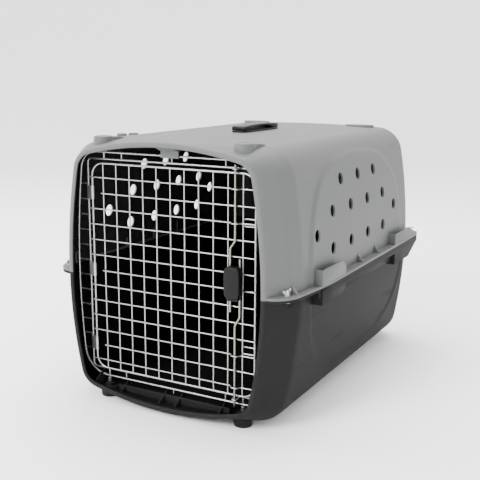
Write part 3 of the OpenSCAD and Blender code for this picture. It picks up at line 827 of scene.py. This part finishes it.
def buildDoorMesh():
    span = doorSpan["top"] - doorSpan["bottom"] - 2 * heavyR + 0.6
    columns = wireRow("doorColumns", grille["columns"],
                      (grille["left"], grille["columnY"], doorSpan["bottom"] + heavyR - 0.3),
                      (grille["pitch"], 0, 0), (0, 0, span), grille["thinR"], brightWire)
    deliver(columns, "door", ["door_vertical_wires"])
    right = doorSpan["right"] + 1
    runs = []
    for first, count in grille["full"]:
        left = doorSpan["left"] - 3
        runs.append(wireRow("rows", count, (left, grille["rowY"], rowZ(first)), (0, 0, -grille["pitch"]),
                            (right - left, 0, 0), grille["thinR"], brightWire))
    for i in grille["short"]:
        left = grille["left"] - 3
        runs.append(wireRow("rows", 1, (left, grille["rowY"], rowZ(i)), (0, 0, 0), (right - left, 0, 0),
                            grille["thinR"], brightWire))
    deliver(joined("doorRows", runs), "door", ["door_horizontal_wires"])
    bow = rod["y"] - rod["radius"] - grille["thinR"] - 0.5
    paths = []
    for i in grille["guides"]:
        z, y = rowZ(i), grille["rowY"]
        paths.append([(doorSpan["left"] - 3, y, z), (rod["x"] - 9, y, z), (rod["x"] - 4, bow, z),
                      (rod["x"] + 4, bow, z), (rod["x"] + 9, y, z), (right, y, z)])
    deliver(bentWires("doorGuideRows", paths, grille["thinR"], 2.5, brightWire), "door",
            ["door_guide_wires"])
    loopY = heavyR + grille["thinR"] - 0.3
    stem = grille["left"] + (grille["columns"] - 1) * grille["pitch"] - 2
    weld, reach = doorSpan["right"] + 1.2, grille["loopHalf"]
    loops = [[(weld, loopY, z + reach), (stem, loopY, z + reach), (stem, loopY, z - reach),
              (weld, loopY, z - reach)] for z in grille["loopZ"]]
    deliver(bentWires("doorSideLoops", loops, grille["thinR"], 5.3, brightWire), "door",
            ["door_side_loops"])
    corner, left, bottom, top = 20, doorSpan["left"], doorSpan["bottom"], doorSpan["top"]
    loop = [(left, 0, bottom), (doorSpan["right"], 0, bottom), (doorSpan["right"], 0, top), (left, 0, top)]
    deliver(bentWires("doorRim", [loop], heavyR, corner, brightWire, True, 18), "door",
            ["door_rim_wire"])


# The wire frame the door hangs in
wireFrame = {"y": 4, "half": 157, "top": 391, "bottom": 45, "corner": 7, "outerTop": 402,
             "outerBottom": 33, "outerHalf": 181, "bow": 11, "bowSpan": 170, "rungs": 12, "rungTop": 349.5,
             "hoopX": 93, "eyeletTop": 391, "eyeletBottom": 43}


def outerX(z):
    return wireFrame["outerHalf"] - wireFrame["bow"] * ((z - partingZ) / wireFrame["bowSpan"]) ** 2


def buildWireFrame():
    y, low, high = wireFrame["y"], wireFrame["outerBottom"], wireFrame["outerTop"]
    foot, head = 45, 30
    right = [(outerX(low + foot) - foot + foot * math.sin(a), y, low + foot - foot * math.cos(a))
             for a in (math.pi / 2 * k / 8 for k in range(8))]
    right += [(outerX(z), y, z) for z in np.linspace(low + foot, high - head, 14)]
    right += [(outerX(high - head) - head + head * math.cos(a), y, high - head + head * math.sin(a))
              for a in (math.pi / 2 * k / 8 for k in range(1, 9))]
    loop = right + [(-x, yy, z) for x, yy, z in reversed(right)]
    deliver(bentWires("frameOuterWire", [loop], heavyR, 0.5, brightWire, True, 16), "carrier",
            ["frame_outer_wire"])
    half, top, bottom = wireFrame["half"], wireFrame["top"], wireFrame["bottom"]
    loop = [(-half, y, bottom), (half, y, bottom), (half, y, top), (-half, y, top)]
    deliver(bentWires("frameInnerWire", [loop], heavyR, wireFrame["corner"], brightWire, True, 16),
            "carrier", ["frame_inner_wire"])
    rungY = y + heavyR + grille["thinR"] - 0.3
    paths = []
    for k in range(wireFrame["rungs"]):
        z = wireFrame["rungTop"] - k * grille["pitch"]
        paths += [[(s * (half - 1.2), rungY, z), (s * (outerX(z) + 1), rungY, z)] for s in (-1, 1)]
    for x in (-wireFrame["hoopX"], wireFrame["hoopX"]):
        paths.append([(x, rungY, top - 1.2), (x, rungY, high + 1.2)])
        paths.append([(x, rungY, low - 1.2), (x, rungY, bottom + 1.2)])
    paths.append([(0, rungY, top - 1.2), (0, rungY, high + 1.2)])
    deliver(bentWires("frameRungs", paths, grille["thinR"], 0.1, brightWire), "carrier",
            ["frame_rungs"])
    gap = rod["radius"] + 0.6 + grille["thinR"]
    weldY = y - heavyR - grille["thinR"] + 0.3
    paths = []
    for z, weldZ in ((wireFrame["eyeletTop"], top), (wireFrame["eyeletBottom"], bottom)):
        arch = [(-gap, weldY, weldZ), (-gap, weldY, z), (-gap, rod["y"] - gap, z), (gap, rod["y"] - gap, z),
                (gap, weldY, z), (gap, weldY, weldZ)]
        if abs(weldZ - z) < 0.5:
            arch = arch[1:-1]
        paths.append([(rod["x"] + x, yy, zz) for x, yy, zz in arch])
    deliver(bentWires("rodEyelets", paths, grille["thinR"], 2.6, brightWire), "carrier",
            ["rod_eyelets"])


buildDoorMesh()
buildWireFrame()
print("stage: door and frame wires")

# Latch: two rods, a cover and a slide pressed together against a spring
latch = {"half": 13, "front": -19, "back": -5.2, "round": 5.0, "fixedWay": 1.75, "looseWay": 2.15,
         "springY": -10.5, "springWay": 3.6, "coilR": 2.6, "springWire": 0.45}
coverLow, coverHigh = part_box("latch_cover")
slideLow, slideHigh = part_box("latch_slide")
springLow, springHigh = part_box("latch_spring")
upperRodLow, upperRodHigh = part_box("upper_latch_rod")
lowerRodLow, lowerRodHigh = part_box("lower_latch_rod")


def superOutline(x, z, halfX, halfZ, power, count=56):
    points = []
    for k in range(count):
        a = 2 * math.pi * (k + 0.5) / count
        c, s = math.cos(a), math.sin(a)
        points.append((x + halfX * math.copysign(abs(c) ** (2 / power), c),
                       z + halfZ * math.copysign(abs(s) ** (2 / power), s)))
    return points


def buildLatch():
    low, high = coverLow[2] / mm, coverHigh[2] / mm
    middle, halfZ = (low + high) / 2, (high - low) / 2
    cover = prism(superOutline(rod["x"], middle, latch["half"], halfZ, latch["round"]), "xz",
                  latch["front"], latch["back"], 2.2, 4)
    hollow = slab((rod["x"] - latch["half"] + 2.2, rod["x"] + latch["half"] - 2.2),
                  (latch["front"] + 2.4, latch["back"] + 2), (low - 4, high - 2.6))
    ways = [peg((rod["x"] - rod["offset"], rod["y"], high - 5), latch["fixedWay"], 30),
            peg((rod["x"] + rod["offset"], rod["y"], high - 5), latch["looseWay"], 30)]
    carve(cover, [hollow] + ways, "DIFFERENCE")
    deliver(cover, "upper_latch", ["latch_cover"], blackPlastic)
    low, high = slideLow[2] / mm, slideHigh[2] / mm
    slide = prism(superOutline(rod["x"], (low + high) / 2, latch["half"] - 3, (high - low) / 2, 7), "xz",
                  latch["front"] + 2.8, latch["back"] - 0.4, 0.8, 3)
    ways = [peg((rod["x"] - rod["offset"], rod["y"], middle - 20), latch["looseWay"], 60),
            peg((rod["x"] + rod["offset"], rod["y"], middle - 20), latch["fixedWay"], 60),
            peg((rod["x"], latch["springY"], high), latch["springWay"], 34)]
    carve(slide, ways, "DIFFERENCE")
    deliver(slide, "lower_latch", ["latch_slide"], blackPlastic)
    height = (springHigh[2] - springLow[2]) / mm - 1
    coil = grow("latchSpring", coilTree, {"Turns": 9.0, "Coil Radius": latch["coilR"] * mm,
                                          "Height": height * mm, "Sides": 10, "Material": springSteel,
                                          "Foot": put(rod["x"], latch["springY"], springLow[2] / mm + 0.5),
                                          "Radius": latch["springWire"] * mm})
    deliver(coil, "upper_latch", ["latch_spring"])
    x, y, out = rod["x"], rod["y"], rod["offset"]
    up = [(x - out, y, upperRodLow[2] / mm), (x - out, y, rod["jogUp"][0]), (x, y, rod["jogUp"][1]),
          (x, y, upperRodHigh[2] / mm)]
    down = [(x, y, lowerRodLow[2] / mm), (x, y, rod["jogDown"][0]), (x + out, y, rod["jogDown"][1]),
            (x + out, y, lowerRodHigh[2] / mm)]
    deliver(bentWires("upperLatchRod", [up], rod["radius"], 7, nickelRod, False, 20), "upper_latch",
            ["upper_latch_rod"])
    deliver(bentWires("lowerLatchRod", [down], rod["radius"], 7, nickelRod, False, 20), "lower_latch",
            ["lower_latch_rod"])


buildLatch()
print("stage: latch")

# Handle: base plate on the roof, grip with a finger gap, legs through the roof
baseLow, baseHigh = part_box("handle_base")
gripLow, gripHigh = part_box("handle_grip")
grip = {"half": 13, "gapHalf": 40, "gapHeight": 5.2, "round": 2.6, "endDrop": 2.2, "ribs": 17, "ribStep": 4}


def buildHandle():
    low, high = baseLow[2] / mm, baseHigh[2] / mm
    half, middle = handle["half"] + 3, handle["middle"]
    plate = prism(superOutline(0, middle, handle["baseHalf"], half, 6, 72), "xy", low, high, 0.9, 3)
    carve(plate, [slab((-4, 4), (middle - 34, middle + 34), (high - 1, high + 3.4), 0.5)], "UNION")
    carve(plate, handleCutters(low - 4, high + 4), "DIFFERENCE")
    deliver(plate, "carrier", ["handle_base"], blackPlastic)
    foot, top = gripLow[2] / mm, gripHigh[2] / mm
    under = high + 0.4
    start, end = middle - handle["half"], middle + handle["half"]
    profile = [(start, under), (start, top - grip["endDrop"] - 2)]
    for k in range(17):
        u = k / 8 - 1
        profile.append((middle + u * (handle["half"] - 1.5), top - grip["endDrop"] * abs(u) ** 2.4))
    profile += [(end, top - grip["endDrop"] - 2), (end, under)]
    for k in range(13):
        u = 1 - k / 6
        profile.append((middle + grip["gapHalf"] * u, under + grip["gapHeight"] * (1 - abs(u) ** 4)))
    bar = prism(profile, "yz", -grip["half"], grip["half"], grip["round"], 4)
    first = middle - grip["ribStep"] * (grip["ribs"] - 1) / 2
    legs = [wireRow("gripRibs", grip["ribs"], (-11, first, under + grip["gapHeight"]),
                    (0, grip["ribStep"], 0), (22, 0, 0), 1.1, blackPlastic)]
    for s in (-1, 1):
        y = middle + s * handle["legSpread"]
        legs.append(slab((-handle["legW"] / 2, handle["legW"] / 2),
                         (y - handle["legT"] / 2, y + handle["legT"] / 2), (foot, under + 2), 0.3))
    carve(bar, legs, "UNION")
    deliver(bar, "handle", ["handle_grip"], blackPlastic)


buildHandle()
print("stage: handle")

# CAD parts that keep their shape get the finished materials
finishes = {
    "frame_pins": brightWire, "frame_pin_sleeves": zincMetal, "flange_bolts": zincMetal,
    "flange_washers": zincMetal, "wing_nuts": zincMetal, "handle_screws": blackScrew,
    "handle_stop_clips": blackPlastic, "hinge_strap_upper": strapMetal, "hinge_strap_middle": strapMetal,
    "hinge_strap_lower": strapMetal,
}
for node, material in finishes.items():
    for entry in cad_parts[node].material_slots:
        entry.material = material

# Studio, in metres: a pale bowl all round, soft lights above
studio = {"floor": 3.2, "bend": 1.6, "wall": 3.4, "paint": (0.93, 0.93, 0.93), "sky": 1.88}


def buildStudio():
    maker = MaterialMaker("studioPaint")
    mottle = maker.noise(1.4, 2.0)
    tone = maker.mix(mottle, tint(studio["paint"], 0.985), tint(studio["paint"], 1.01))
    paint = maker.finish(Base_Color=tone, Roughness=0.85)
    profile = [(studio["floor"] * k / 6, 0.0) for k in range(1, 7)]
    for k in range(1, 13):
        a = math.pi / 2 * k / 12
        profile.append((studio["floor"] + studio["bend"] * math.sin(a), studio["bend"] * (1 - math.cos(a))))
    profile.append((studio["floor"] + studio["bend"], studio["wall"]))
    body = bmesh.new()
    count = 96
    turns = [2 * math.pi * k / count for k in range(count)]
    rings = [[body.verts.new((r * math.cos(a), r * math.sin(a), z)) for a in turns] for r, z in profile]
    body.faces.new(rings[0])
    for inner, outer in zip(rings, rings[1:]):
        for k in range(count):
            m = (k + 1) % count
            body.faces.new((inner[k], outer[k], outer[m], inner[m]))
    bowlMesh = bpy.data.meshes.new("studioBowl")
    body.to_mesh(bowlMesh)
    body.free()
    bowl = addObject("studioBowl", bowlMesh)
    bowlMesh.materials.append(paint)
    for face in bowlMesh.polygons:
        face.use_smooth = True
    world = bpy.data.worlds.new("studioSky")
    world.use_nodes = True
    world.node_tree.nodes["Background"].inputs["Color"].default_value = (1, 1, 1, 1)
    world.node_tree.nodes["Background"].inputs["Strength"].default_value = studio["sky"]
    bpy.context.scene.world = world


def addLight(name, place, aim, size, power):
    lamp = bpy.data.lights.new(name, "AREA")
    lamp.shape = "RECTANGLE"
    lamp.size, lamp.size_y = size
    lamp.energy = power
    thing = bpy.data.objects.new(name, lamp)
    bpy.context.collection.objects.link(thing)
    thing.location = place
    thing.rotation_euler = (Vector(aim) - Vector(place)).to_track_quat("-Z", "Y").to_euler()


# Each light: place, aim, size, power
lights = {
    "topSoftbox": ((-0.3, 0.7, 2.6), (0, 0, 0.2), (2.2, 1.8), 128),
    "frontKey": ((-0.9, -2.8, 1.9), (0, 0, 0.2), (1.2, 1.2), 165),
    "leftFill": ((-2.8, -0.2, 1.6), (0, 0, 0.2), (1.4, 1.4), 62),
}
buildStudio()
for name, (place, aim, size, power) in lights.items():
    addLight(name, place, aim, size, power)

# Camera: angles in degrees, place in mm
view = {"turn": 28.44, "tilt": 11.673, "roll": 0.312, "lens": 61.54, "x": 674.4, "y": -1023.4, "z": 527.7}


def addCamera():
    turn, tilt, roll = (math.radians(view[key]) for key in ("turn", "tilt", "roll"))
    back = Vector((math.sin(turn) * math.cos(tilt), -math.cos(turn) * math.cos(tilt), math.sin(tilt)))
    level = Vector((math.cos(turn), math.sin(turn), 0))
    right = level * math.cos(roll) + back.cross(level) * math.sin(roll)
    up = back.cross(right)
    data = bpy.data.cameras.new("camera")
    data.sensor_width = 36
    data.lens = view["lens"]
    camera = bpy.data.objects.new("camera", data)
    bpy.context.collection.objects.link(camera)
    camera.matrix_world = Matrix.LocRotScale(put(view["x"], view["y"], view["z"]),
                                             Matrix((right, up, back)).transposed(), None)
    bpy.context.scene.camera = camera


addCamera()
print("stage: camera and lights")
